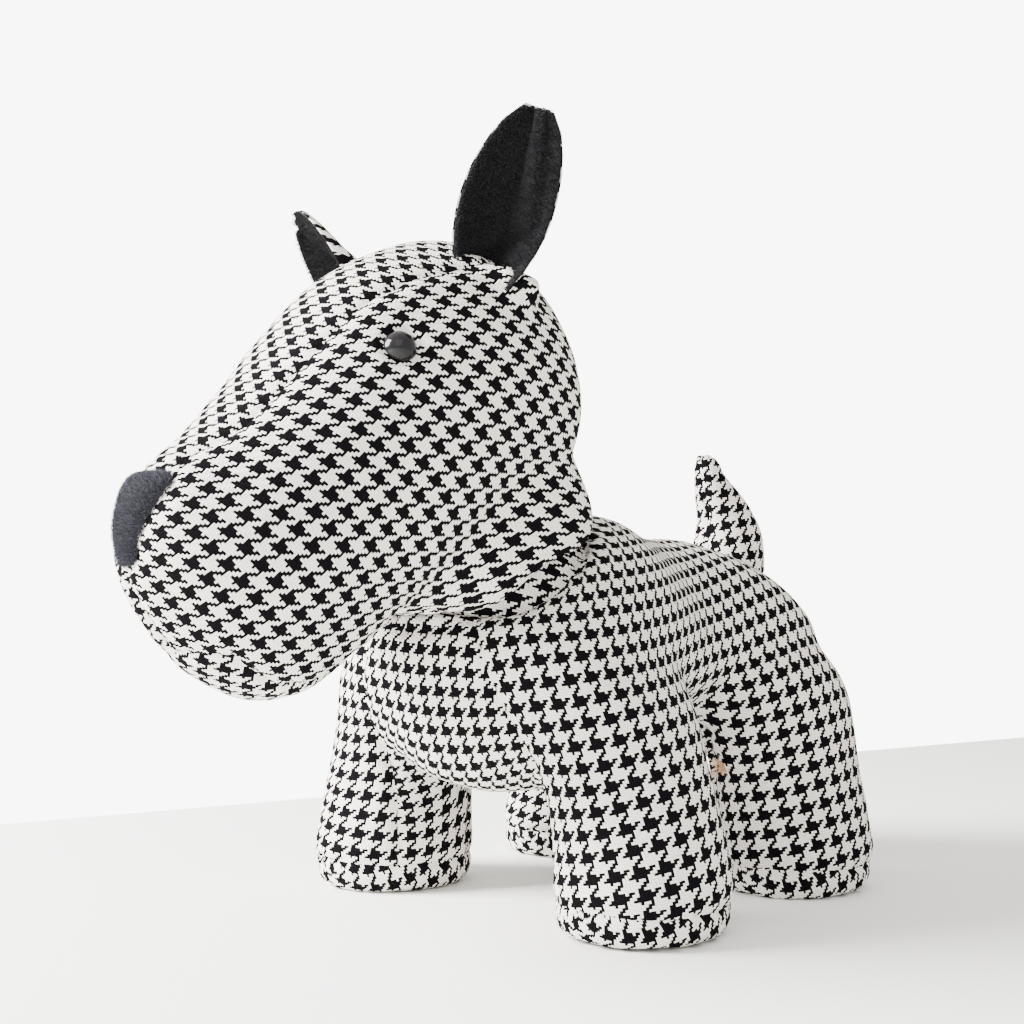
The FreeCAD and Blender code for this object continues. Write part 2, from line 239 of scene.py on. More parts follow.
clothSheet = {
    "quality": 5, "mass": 0.25, "tension_stiffness": 25, "compression_stiffness": 25,
    "bending_stiffness": 0.6, "use_pressure": True,
}
swellFrames = 20
stillMargin = 6 * mm             # over which a still place takes up the swelling


def copyOf(nodes, extra=()):
    bm = bmesh.new()
    for node in nodes:
        part = frame["nodes"][node].data.copy()
        bm.from_mesh(part)
        bpy.data.meshes.remove(part)
    for centre, radius in extra:
        bmesh.ops.create_icosphere(
            bm, subdivisions=3, radius=radius, matrix=Matrix.Translation(centre))
    bmesh.ops.remove_doubles(bm, verts=bm.verts, dist=1e-6)
    return bm


def newObject(name, bm):
    mesh = bpy.data.meshes.new(name)
    bm.to_mesh(mesh)
    bm.free()
    item = bpy.data.objects.new(name, mesh)
    collection.objects.link(item)
    return item


def opened(item):
    bm = bmesh.new()
    bm.from_mesh(item.data)
    return bm


def applied(item):
    graph = bpy.context.evaluated_depsgraph_get()
    mesh = bpy.data.meshes.new_from_object(item.evaluated_get(graph))
    item.modifiers.clear()
    old = item.data
    item.data = mesh
    bpy.data.meshes.remove(old)


def remeshed(item, size):
    remesh = item.modifiers.new("remesh", "REMESH")
    remesh.mode = "VOXEL"
    remesh.voxel_size = size
    applied(item)


def points(mesh):
    co = np.zeros(len(mesh.vertices) * 3)
    mesh.vertices.foreach_get("co", co)
    return co.reshape(-1, 3)


def putPoints(mesh, co):
    mesh.vertices.foreach_set("co", np.ascontiguousarray(co).ravel())
    mesh.update()


def normals(mesh):
    out = np.zeros(len(mesh.vertices) * 3)
    mesh.vertex_normals.foreach_get("vector", out)
    return out.reshape(-1, 3)


def dropLooseShells(item, keepAbove):
    bm = opened(item)
    bm.verts.ensure_lookup_table()
    seen = [False] * len(bm.verts)
    doomed = []
    for start in bm.verts:
        if seen[start.index]:
            continue
        seen[start.index] = True
        shell = [start]
        for vert in shell:
            for edge in vert.link_edges:
                other = edge.other_vert(vert)
                if not seen[other.index]:
                    seen[other.index] = True
                    shell.append(other)
        if len(shell) < keepAbove:
            doomed += shell
    bmesh.ops.delete(bm, geom=doomed, context="VERTS")
    bmesh.ops.recalc_face_normals(bm, faces=bm.faces)
    bm.to_mesh(item.data)
    bm.free()


def stuffed(name, nodes, settings, extra=(), still=()):
    item = newObject(name, copyOf(nodes, extra))
    remeshed(item, settings["voxel"])
    dropLooseShells(item, settings["keepAbove"])
    smooth = item.modifiers.new("smooth", "SMOOTH")
    smooth.factor = 0.5
    smooth.iterations = settings["smoothing"]
    applied(item)
    start = points(item.data)
    outward = normals(item.data)
    moved = np.zeros_like(start)
    cloth = item.modifiers.new("cloth", "CLOTH")
    for key, value in clothSheet.items():
        setattr(cloth.settings, key, value)
    cloth.settings.uniform_pressure_force = settings["pressure"]
    cloth.settings.effector_weights.gravity = 0
    cloth.point_cache.frame_end = swellFrames
    for frameNumber in range(1, swellFrames + 1):
        bpy.context.scene.frame_set(frameNumber)
    applied(item)
    bpy.context.scene.frame_set(1)
    moved = points(item.data) - start
    far = np.linalg.norm(moved, axis=1)
    moved *= (np.minimum(far, settings["cap"]) / np.maximum(far, 1e-9))[:, None]
    for centre, radius in still:
        reach = np.linalg.norm(start - np.array(centre), axis=1)
        free = np.clip((reach - radius) / stillMargin, 0, 1)[:, None]
        moved = moved * free
    putPoints(item.data, start + moved + outward * settings["skin"])
    return item


# Panels: a plane cuts only the faces that a rule picks, and each face gets its panel's number.

def cutPanel(bm, place, rule, point, normal):
    inverse = place.inverted()
    faces = [face for face in bm.faces if rule(inverse @ face.calc_center_median() / mm)]
    edges = {edge for face in faces for edge in face.edges}
    verts = {vert for face in faces for vert in face.verts}
    bmesh.ops.bisect_plane(
        bm, geom=[*verts, *edges, *faces], dist=0.15 * mm,
        plane_co=place @ (Vector(point) * mm), plane_no=place.to_3x3() @ Vector(normal))


def numberPanels(item, bm, place, chooser):
    inverse = place.inverted()
    for face in bm.faces:
        face.material_index = chooser(inverse @ face.calc_center_median() / mm)
        face.smooth = True
    bm.to_mesh(item.data)
    bm.free()


# Each panel's weave follows the grain: two gradient fits, solved by conjugate gradients.

grainRules = {
    "bellyTurn": 10 * mm,        # behind this the grain runs down the back of the legs
    "innerLeg": 2.2, "neckStraight": 72 * mm, "neckMargin": 30 * mm,
    "rounds": 700, "closeness": 1e-10, "panelShift": (0.0137, 0.0091),
}


def grainOf(kind, normal, middle):
    up = np.zeros_like(normal)
    if kind == "crown":                     # runs up the front, over the top and under
        up[:, 1], up[:, 2] = normal[:, 2], normal[:, 0] ** 2 - normal[:, 1]
    elif kind == "belly":                   # turns over in the folds behind the legs
        rear = middle[:, 1] > bodyPlace.translation.y + grainRules["bellyTurn"]
        up[:, 1], up[:, 2] = normal[:, 2], np.where(
            rear, grainRules["innerLeg"] * normal[:, 0] ** 2 - normal[:, 1],
            normal[:, 0] ** 2 + np.abs(normal[:, 1]))
    elif kind == "sole":
        up[:, 1] = -1
    else:                                   # "left" or "right": up the side and over it
        up[:, 2] = 1
        away = np.linalg.norm(middle - np.array(neckPivot), axis=1)
        turned = np.clip((away - grainRules["neckStraight"]) / grainRules["neckMargin"], 0, 1)
        up[:, 0] = -normal[:, 2] * turned * (1 if kind == "left" else -1)
    up -= normal * (up * normal).sum(1)[:, None]
    up /= np.maximum(np.linalg.norm(up, axis=1), 1e-6)[:, None]
    return up, np.cross(up, normal)


def fitGradient(corners, weights, area, wanted, count, guess):
    def gradient(values):
        return (values[corners][:, :, None] * weights).sum(1)

    def gather(field):
        pushed = (weights * (field * area[:, None])[:, None, :]).sum(2)
        return np.bincount(corners.ravel(), pushed.ravel(), count)

    stiffness = (weights ** 2).sum(2) * area[:, None]
    weight = 1 / np.maximum(np.bincount(corners.ravel(), stiffness.ravel(), count), 1e-12)
    values = guess.copy()
    rest = gather(wanted - gradient(values))
    ready = rest * weight
    step = ready.copy()
    power = rest @ ready
    first = power
    for _ in range(grainRules["rounds"]):
        pushed = gather(gradient(step))
        size = power / max(step @ pushed, 1e-30)
        values += size * step
        rest -= size * pushed
        ready = rest * weight
        following = rest @ ready
        if following < first * grainRules["closeness"]:
            break
        step = ready + step * (following / power)
        power = following
    return values


def layWeave(item, layouts):
    mesh = item.data
    layer = mesh.uv_layers.new(name="weave")
    uv = np.zeros((len(mesh.loops), 2))
    co = points(mesh)
    mesh.calc_loop_triangles()
    total = len(mesh.loop_triangles)
    loops = np.zeros(total * 3, int)
    mesh.loop_triangles.foreach_get("loops", loops)
    corner = np.zeros(total * 3, int)
    mesh.loop_triangles.foreach_get("vertices", corner)
    owner = np.zeros(total, int)
    mesh.loop_triangles.foreach_get("polygon_index", owner)
    panel = np.zeros(len(mesh.polygons), int)
    mesh.polygons.foreach_get("material_index", panel)
    loops, corner, panel = loops.reshape(-1, 3), corner.reshape(-1, 3), panel[owner]
    for number, (kind, angle) in layouts.items():
        picked = panel == number
        if not picked.any():
            continue
        own, inverse = np.unique(corner[picked], return_inverse=True)
        corners = inverse.reshape(-1, 3)
        a, b, c = (co[corner[picked, k]] for k in range(3))
        normal = np.cross(b - a, c - a)
        double = np.maximum(np.linalg.norm(normal, axis=1), 1e-12)
        normal /= double[:, None]
        edges = np.stack((c - b, a - c, b - a), 1)
        weights = np.cross(normal[:, None, :], edges) / double[:, None, None]
        up, across = grainOf(kind, normal, (a + b + c) / 3)
        place = co[own]
        side = {"left": place[:, 1], "right": -place[:, 1]}.get(kind, place[:, 0])
        u = fitGradient(corners, weights, double / 2, across, len(own), side)
        v = fitGradient(corners, weights, double / 2, up, len(own), place[:, 2].copy())
        turn = math.radians(angle)
        turned = np.stack((u * math.cos(turn) - v * math.sin(turn),
                           u * math.sin(turn) + v * math.cos(turn)), 1)
        turned += number * np.array(grainRules["panelShift"])
        uv[loops[picked]] = turned[corners]
    layer.data.foreach_set("uv", uv.ravel())


def refine(item):
    subdivide = item.modifiers.new("subdivide", "SUBSURF")
    subdivide.levels = 1
    subdivide.render_levels = 1
    applied(item)


def seamEdges(mesh):
    panel = {}
    for polygon in mesh.polygons:
        for key in polygon.edge_keys:
            panel.setdefault(key, []).append(polygon.material_index)
    return [key for key, numbers in panel.items() if len(set(numbers)) > 1]


seamFeel = {
    "reach": 16 * mm, "puffAt": 7 * mm, "puffWidth": 4 * mm, "puckerWidth": 4.5 * mm,
    "tugScale": 150, "puckerScale": 260, "sagScale": 24, "rippleScale": 75,
}


def sinkSeams(item, settings):
    mesh = item.data
    co = points(mesh)
    outward = normals(mesh)
    edges = seamEdges(mesh)
    tree = kdtree.KDTree(2 * len(edges))
    for index, (a, b) in enumerate(edges):
        tree.insert(Vector(co[a]), 2 * index)
        tree.insert(Vector((co[a] + co[b]) / 2), 2 * index + 1)
    tree.balance()
    shift = np.zeros(len(co))
    for index, place in enumerate(co):
        spot = Vector(place)
        nearest, _, gap = tree.find(spot)
        if gap < seamFeel["reach"]:
            tug = 0.75 + 0.6 * noise.noise(nearest * seamFeel["tugScale"])
            pucker = noise.noise(nearest * seamFeel["puckerScale"])
            pucker *= math.exp(-(gap / seamFeel["puckerWidth"]) ** 2)
            puff = math.exp(-((gap - seamFeel["puffAt"]) / seamFeel["puffWidth"]) ** 2)
            shift[index] -= settings["depth"] * tug * math.exp(-(gap / settings["width"]) ** 2)
            shift[index] += settings["puff"] * puff + settings["pucker"] * pucker
        shift[index] += settings["sag"] * noise.noise(spot * seamFeel["sagScale"])
        shift[index] += settings["ripple"] * noise.noise(spot * seamFeel["rippleScale"])
    putPoints(mesh, co + outward * shift[:, None])


def dress(item, material, body, nodes):
    # a piece without a body is left unattached here
    item.data.materials.clear()
    item.data.materials.append(material)
    for polygon in item.data.polygons:
        polygon.material_index = 0
        polygon.use_smooth = True
    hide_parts(*nodes)
    if body:
        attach(item, body)


# Body and legs: two side panels that meet on the back, one under chest and belly, four soles.

bodyCloth = {
    "voxel": 3.4 * mm, "keepAbove": 3000, "smoothing": 5, "pressure": 4, "cap": 5 * mm,
    "skin": 0.6 * mm, "gussetHalf": 42, "soleRise": 12, "rumpFrom": 75,
    "chestTaper": 0.36, "shoulderRounds": 45,
    "depth": 1.5 * mm, "width": 2.0 * mm, "puff": 0.5 * mm, "pucker": 0.7 * mm,
    "sag": 1.3 * mm, "ripple": 0.45 * mm, "fill": 0.9,
    "footTall": 22 * mm, "footSpread": 2.5 * mm, "footDrop": 2 * mm,
    "bendFrom": 34 * mm, "bendTo": 3 * mm, "rumpSlope": 0.84,
    "neckBack": -59, "neckHigh": 127, "neckRim": 42.5, "neckHidden": 32,
}


def bodyPanel(p):
    half = bodyCloth["gussetHalf"] - bodyCloth["chestTaper"] * max(0, p.z - 70) * (p.y < 0)
    neckBack = bodyCloth["neckBack"]
    fromNeck = (p - Vector((0, neckBack, bodyCloth["neckHigh"]))).length
    if fromNeck < bodyCloth["neckRim"]:
        return 7 if fromNeck > bodyCloth["neckHidden"] else 8
    if p.z < bodyCloth["soleRise"]:
        return 3 + (p.x > 0) + 2 * (p.y > 0)
    rump = p.y > bodyCloth["rumpFrom"] and abs(p.x) + bodyCloth["rumpSlope"] * (p.z - 50) > half
    back = p.z > 100 and p.y > neckBack
    if abs(p.x) < half and not back and not (p.z > 50 and rump):
        return 0
    return 1 if p.x > 0 else 2


def spreadFeet(item):
    co = points(item.data)
    outward = normals(item.data)
    low = np.clip(1 - co[:, 2] / bodyCloth["footTall"], 0, 1)[:, None]
    level = outward * (1, 1, 0)
    level /= np.maximum(np.linalg.norm(level, axis=1), 0.3)[:, None]
    co += level * low * bodyCloth["footSpread"]
    co[:, 2] -= low[:, 0] ** 2 * bodyCloth["footDrop"]
    co[:, 2] = np.maximum(co[:, 2], 0.3 * mm)
    putPoints(item.data, co)


def makeBody():
    half, rumpFrom, neckBack = take(bodyCloth, "gussetHalf", "rumpFrom", "neckBack")
    item = stuffed("bodyCover", ["body_filling"], bodyCloth,
                   still=((neckPivot, 41 * mm), (tailPivot, 22 * mm)))
    closeShoulders(item)
    roundShoulders(item)
    liftThroat(item)
    spreadFeet(item)
    bm = opened(item)
    cutPanel(bm, bodyPlace, lambda p: p.z < 40, (0, 0, bodyCloth["soleRise"]), (0, 0, 1))
    for side in (1, -1):
        cutPanel(bm, bodyPlace, lambda p: 11 < p.z < 73 and (
            p.y < rumpFrom + 4 or p.z < 54), (side * half, 0, 0), (1, 0, 0))
        cutPanel(bm, bodyPlace, lambda p: p.z > 67 and p.y < -55 and p.x * side > 0,
                 (side * half, 0, 70), (side, 0, bodyCloth["chestTaper"]))
        cutPanel(bm, bodyPlace, lambda p: p.y > rumpFrom - 4 and 46 < p.z < 112,
                 (side * half, 0, 50), (side, 0, bodyCloth["rumpSlope"]))
    cutPanel(bm, bodyPlace, lambda p: p.z > 80 and p.y > neckBack, (0, 0, 0), (1, 0, 0))
    cutPanel(bm, bodyPlace, lambda p: p.z > 90 and abs(p.x) < half + 6,
             (0, neckBack, 0), (0, 1, 0))
    numberPanels(item, bm, bodyPlace, bodyPanel)
    layouts = {0: ("belly", 2), 1: ("left", -9), 2: ("right", 5), 7: ("belly", 2),
               8: ("belly", 0)}
    for sole in range(3, 7):
        layouts[sole] = ("sole", 45)
    layWeave(item, layouts)
    refine(item)
    sinkSeams(item, bodyCloth)
    co = points(item.data)
    co[:, 2] = np.maximum(co[:, 2], 0)
    putPoints(item.data, co)
    dress(item, houndstooth, None, [
        "body_filling", "body_cover", "sole_front_left", "sole_front_right",
        "sole_rear_left", "sole_rear_right"])
    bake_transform(item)
    print("body stuffed", len(item.data.polygons))


# Head: a panel over the crown and bridge, one under the chin, two cheeks and the nose patch.

headCloth = {
    "voxel": 3.0 * mm, "keepAbove": 2500, "smoothing": 4, "pressure": 4, "cap": 4 * mm,
    "skin": 0.7 * mm, "depth": 1.0 * mm, "width": 1.8 * mm, "puff": 0.4 * mm,
    "pucker": 0.45 * mm, "sag": 0.9 * mm, "ripple": 0.35 * mm, "fill": 0.95,
    "bridgeHalf": 21, "crownHalf": 38, "napeHalf": 16, "chinHalf": 22,
    "muzzleFrom": -60 * mm, "muzzleLong": 85 * mm, "muzzleGain": 6 * mm,
}
throat = {                       # where the throat and jaw are, from the neck's pivot
    "lift": 12 * mm, "at": (0, -42, -28), "spread": (44, 26, 26),
    "jawDrop": 4.5 * mm, "jawAt": (8, -94, -30), "jawSpread": (40, 24, 30),
}
eyeDimple = {
    "flat": 6.6 * mm, "reach": 8 * mm, "sink": 0.5 * mm, "rise": 5 * mm, "slope": 9 * mm,
    "below": 15 * mm,
}
neckCrease = {                   # angles are degrees from the neck's axis
    "headLip": 84, "drawnFrom": 26, "mostDrawn": 40, "bodyFrom": 128, "bodyLip": 94,
    "bodyTurn": -7.5, "bodyStart": 89, "bearings": 60, "leastRim": 50,
    "reach": 100 * mm, "margin": 30 * mm, "lipReach": 64 * mm, "lipMargin": 20 * mm,
    "rimFrom": 39 * mm, "rimTo": 47 * mm, "bodyRim": 40.6 * mm, "rimMargin": 2.5 * mm,
}


def eased(share):
    share = np.clip(share, 0, 1)
    return share * share * (3 - 2 * share)


def neckAngles(item):
    axis = np.array(neckAxis)
    rel = points(item.data) - np.array(neckPivot)
    reach = np.maximum(np.linalg.norm(rel, axis=1), 1e-6)
    along = rel @ axis
    outward = rel - along[:, None] * axis
    outward /= np.maximum(np.linalg.norm(outward, axis=1), 1e-6)[:, None]
    return reach, np.degrees(np.arccos(np.clip(along / reach, -1, 1))), outward


def swingPoints(item, reach, angle, outward):
    angle = np.radians(angle)[:, None]
    rel = reach[:, None] * (np.cos(angle) * np.array(neckAxis) + np.sin(angle) * outward)
    putPoints(item.data, rel + np.array(neckPivot))


def drawHeadDown(item):
    reach, angle, outward = neckAngles(item)
    bearing = np.degrees(np.arctan2(outward @ np.cross(neckAxis, (1, 0, 0)), outward[:, 0]))
    count = neckCrease["bearings"]
    sector = 360 / count
    bins = np.round(bearing / sector).astype(int) % count
    rim = np.full(count, float(neckCrease["leastRim"]))
    near = (reach > neckCrease["rimFrom"]) & (reach < neckCrease["rimTo"])
    np.maximum.at(rim, bins[near], angle[near])
    for _ in range(4):
        rim = (np.roll(rim, 1) + rim * 2 + np.roll(rim, -1)) / 4
    edge = np.interp(bearing % 360, np.arange(count + 1) * sector, np.append(rim, rim[0]))
    share = eased((angle - edge) / neckCrease["drawnFrom"] + 1)
    fade = eased((neckCrease["lipReach"] - reach) / neckCrease["lipMargin"])
    drawn = np.clip(neckCrease["headLip"] - edge, 0, neckCrease["mostDrawn"])
    swingPoints(item, reach, angle + drawn * share * fade, outward)


def closeShoulders(item):
    reach, angle, outward = neckAngles(item)
    start, full = neckCrease["bodyFrom"], neckCrease["bodyLip"]
    share = eased((angle - start) / (full - start)) * (angle > neckCrease["bodyStart"])
    fade = np.clip((neckCrease["reach"] - reach) / neckCrease["margin"], 0, 1)
    fade *= np.clip((reach - neckCrease["bodyRim"]) / neckCrease["rimMargin"], 0, 1)
    swingPoints(item, reach, angle + neckCrease["bodyTurn"] * share * fade, outward)


def liftThroat(item):
    co = points(item.data)
    local = (co - np.array(neckPivot)) / mm
    front = np.exp(-(((local - throat["at"]) / throat["spread"]) ** 2).sum(1))
    co[:, 2] += throat["lift"] * front
    if item.name == "headCover":
        jaw = np.exp(-(((local - throat["jawAt"]) / throat["jawSpread"]) ** 2).sum(1))
        co[:, 2] -= throat["jawDrop"] * jaw
    putPoints(item.data, co)


def stretchMuzzle(item):
    co = points(item.data)
    local = (co - np.array(headPlace.translation)) @ np.array(headPlace.to_3x3())
    amount = (headCloth["muzzleFrom"] - local[:, 1]) / headCloth["muzzleLong"]
    amount = np.clip(amount, 0, 1)
    local[:, 1] -= headCloth["muzzleGain"] * amount * amount
    putPoints(item.data, local @ np.array(headPlace.to_3x3()).T + np.array(headPlace.translation))


def relax(item, amount, rounds):
    mesh = item.data
    ends = np.zeros(len(mesh.edges) * 2, int)
    mesh.edges.foreach_get("vertices", ends)
    a, b = ends.reshape(-1, 2).T
    co = points(mesh)
    count = np.bincount(np.concatenate((a, b)), minlength=len(co))
    for _ in range(rounds):
        mean = np.stack([np.bincount(np.concatenate((a, b)), np.concatenate((co[b, k], co[a, k])),
                                     len(co)) for k in range(3)], 1) / count[:, None]
        co += (mean - co) * amount[:, None]
    putPoints(mesh, co)


def roundShoulders(item):
    reach, angle, _ = neckAngles(item)
    inner = np.clip((reach - 43 * mm) / (5 * mm), 0, 1)
    outer = np.clip((96 * mm - reach) / (20 * mm), 0, 1)
    level = np.clip((132 - angle) / 14, 0, 1) * (angle > 80)
    relax(item, 0.6 * inner * outer * level, bodyCloth["shoulderRounds"])


def pressEyes(item):
    co = points(item.data)
    for side in ("left", "right"):
        top, along = eyeFacts(side)
        seat = np.array(top - along * eyeDimple["rise"])
        axis = np.array(along)
        rel = co - seat
        height = rel @ axis
        away = np.linalg.norm(rel - height[:, None] * axis, axis=1)
        slope = np.clip((away - eyeDimple["flat"]) / eyeDimple["reach"], 0, 1)
        limit = -eyeDimple["sink"] + eyeDimple["slope"] * slope ** 1.6
        near = (away < eyeDimple["flat"] + eyeDimple["reach"]) & (height > -eyeDimple["below"])
        lowered = np.minimum(height, limit)
        settle = np.where(near & (away < eyeDimple["flat"]), limit, lowered)
        shift = np.where(near, settle - height, 0)
        co += shift[:, None] * axis
    putPoints(item.data, co)


headSeams = {                    # where the seams turn, in mm from the neck's pivot
    "noseLow": 4, "noseWide": 31, "noseTop": 35, "noseFlare": 11, "noseFront": -112,
    "noseHalf": 15, "noseTuck": 3, "brow": -124, "tipHalf": 13, "tipLong": 14, "widest": -30,
    "nape": 40, "crownLow": 26, "jaw": -25, "jawRise": 32, "jawTurn": -70, "jawEnd": -20,
}


def noseHalf(z):
    low, wide, top = take(headSeams, "noseLow", "noseWide", "noseTop")
    if z < wide:
        return low + headSeams["noseFlare"] * (z - low) / (wide - low)
    return headSeams["noseHalf"] - headSeams["noseTuck"] * (z - wide) / (top - wide)


def crownEdge(y):
    bridge, crown, nape = take(headCloth, "bridgeHalf", "crownHalf", "napeHalf")
    brow, widest, end = take(headSeams, "brow", "widest", "nape")
    if y < brow:
        drawn = min(1, (brow - y) / headSeams["tipLong"])
        return bridge - (bridge - headSeams["tipHalf"]) * drawn
    if y < widest:
        return bridge + (crown - bridge) * (y - brow) / (widest - brow)
    return crown - (crown - nape) * (y - widest) / (end - widest)


def chinLevel(y):
    jaw, turn, end = take(headSeams, "jaw", "jawTurn", "jawEnd")
    return jaw if y < turn else jaw + headSeams["jawRise"] * (y - turn) / (end - turn)


def headPanel(p):
    front, wide = p.y < headSeams["noseFront"], headSeams["noseWide"]
    if front and headSeams["noseLow"] < p.z < headSeams["noseTop"] and abs(p.x) < noseHalf(p.z):
        return 4
    if abs(p.x) < crownEdge(p.y) and p.z > (wide if front else headSeams["crownLow"]):
        return 0
    if abs(p.x) < headCloth["chinHalf"] and p.y < headSeams["jawEnd"] and p.z < chinLevel(p.y):
        return 3
    return 1 if p.x > 0 else 2


def eyeFacts(side):
    mesh = frame["nodes"][f"eye_{side}"].data
    co = points(mesh)
    centre = co.mean(0)
    along = Vector(np.linalg.svd(co - centre, full_matrices=False)[2][0])
    towards = Vector(centre) - headPlace.translation
    if along.dot(Vector((towards.x, 0, 0))) < 0:
        along = -along
    reach = [(Vector(p) - Vector(centre)).dot(along) for p in co]
    return Vector(centre) + along * max(reach), along


def makeHead():
    fills = []
    for side in ("left", "right"):
        top, along = eyeFacts(side)
        fills.append((top - along * 13.6 * mm, 8.6 * mm))
        pivot = Vector(joints[f"ear_{side}_bend"]["pos_m"])
        axis = Vector(joints[f"ear_{side}_bend"]["axis"])
        for step in range(-4, 5):
            fills.append((pivot + axis * step * 3.6 * mm - Vector((0, 0, 2.2 * mm)), 5.6 * mm))
    item = stuffed("headCover", ["head_filling"], headCloth, fills,
                   still=((neckPivot, 42 * mm),))
    drawHeadDown(item)
    liftThroat(item)
    stretchMuzzle(item)
    bm = opened(item)

    def cut(rule, point, normal):
        cutPanel(bm, headPlace, rule, point, normal)

    bridge, crown, nape, chin = take(headCloth, "bridgeHalf", "crownHalf", "napeHalf", "chinHalf")
    brow, widest, end = take(headSeams, "brow", "widest", "nape")
    tip, tipLong = take(headSeams, "tipHalf", "tipLong")
    low, wide, top, noseFront = take(headSeams, "noseLow", "noseWide", "noseTop", "noseFront")
    jaw, turn, flare = take(headSeams, "jaw", "jawTurn", "noseFlare")
    tuck, front = headSeams["noseTuck"], noseFront + 4
    above = headSeams["crownLow"] - 2
    for side in (1, -1):
        cut(lambda p: p.y < brow + 3 and p.z > above and p.x * side > 0,
            (side * bridge, brow, 0), (tipLong, -side * (bridge - tip), 0))
        cut(lambda p: brow - 3 < p.y < widest + 3 and p.z > above and p.x * side > 0,
            (side * bridge, brow, 0), (widest - brow, -side * (crown - bridge), 0))
        cut(lambda p: p.y > widest - 3 and p.z > above and p.x * side > 0,
            (side * crown, widest, 0), (end - widest, side * (crown - nape), 0))
        cut(lambda p: p.y < -20 and p.z < chinLevel(p.y) + 8, (side * chin, 0, 0), (1, 0, 0))
        cut(lambda p: p.y < front and low - 3 < p.z < wide + 2 and p.x * side > 0,
            (side * low, 0, low), (wide - low, 0, -flare * side))
        cut(lambda p: p.y < front and wide - 2 < p.z < top + 2 and p.x * side > 0,
            (side * headSeams["noseHalf"], 0, wide), (top - wide, 0, tuck * side))
    cut(lambda p: p.y < front and p.z < 9 and abs(p.x) < 9, (0, 0, low), (0, 0, 1))
    cut(lambda p: p.y < front and p.z > 30 and abs(p.x) < 17, (0, 0, top), (0, 0, 1))
    cut(lambda p: p.y < noseFront and 27 < p.z < 34 and abs(p.x) > 12,
        (0, 0, wide), (0, 0, 1))
    cut(lambda p: p.y < turn + 4 and abs(p.x) < chin + 1 and p.z < 0, (0, 0, jaw), (0, 0, 1))
    cut(lambda p: -74 < p.y < -16 and abs(p.x) < chin + 1 and p.z < 20,
        (0, turn, jaw), (0, -headSeams["jawRise"], 50))
    cut(lambda p: p.y < front and p.z < 6, (0, 0, 0), (1, 0, 0))
    cut(lambda p: p.y > -22 and p.z < 34, (0, 0, 0), (1, 0, 0))
    numberPanels(item, bm, headPlace, headPanel)
    layWeave(item, {0: ("crown", 45), 1: ("left", 43), 2: ("right", 47), 3: ("crown", 45),
                    4: ("crown", 0)})
    refine(item)
    sinkSeams(item, headCloth)
    pressEyes(item)
    nose = takeNose(item)
    dress(item, houndstooth, "head", [
        "head_filling", "head_top_gusset", "chin_gusset", "head_side_left",
        "head_side_right"])
    print("head stuffed", len(item.data.polygons))
    return nose


nosePatch = {"rise": 0.9 * mm, "edgeSink": 1.4 * mm, "length": 1.5, "width": 0.16, "density": 11}
earShape = {
    "height": 61, "halfWidth": (14, 17.4, 19.6, 20.6, 20.6, 19.8, 18.2, 15.6, 12.0, 5.5),
    "cupTip": 4.5, "ridge": 1.2, "lean": 2.0, "fold": 4.2, "crease": 3.6, "back": 1.4,
    "inner": 1.8, "hem": 0.95, "sink": 5.0, "length": 1.8, "width": 0.15, "density": 11,
    "across": 36, "tall": 54, "bendFrom": -1, "bendTo": 14,
}
earCups = {"left": 10.5, "right": 15.0}     # how deep each leaf is cupped at its seam


def takeNose(head):
    bm = opened(head)
    others = [face for face in bm.faces if face.material_index != 4]
    bmesh.ops.delete(bm, geom=others, context="FACES")
    border = {vert for edge in bm.edges if edge.is_boundary for vert in edge.verts}
    bm.normal_update()
    tree = kdtree.KDTree(len(border))
    for index, vert in enumerate(border):
        tree.insert(vert.co, index)
    tree.balance()
    lifts = []
    for vert in bm.verts:
        gap = tree.find(vert.co)[2]
        rise = nosePatch["rise"] * min(1, gap / (2.5 * mm)) ** 0.5
        sunk = nosePatch["edgeSink"] * (vert in border)
        lifts.append((vert, vert.normal.copy() * (rise - sunk)))
    for vert, lift in lifts:
        vert.co += lift
    return newObject("nosePatch", bm)


# Pile: short leaning fibres scattered by a node tree, one plain mesh for each patch.

pileFibre = {"tip": 0.02 * mm, "least": 0.6, "most": 1.25, "lean": 0.55}


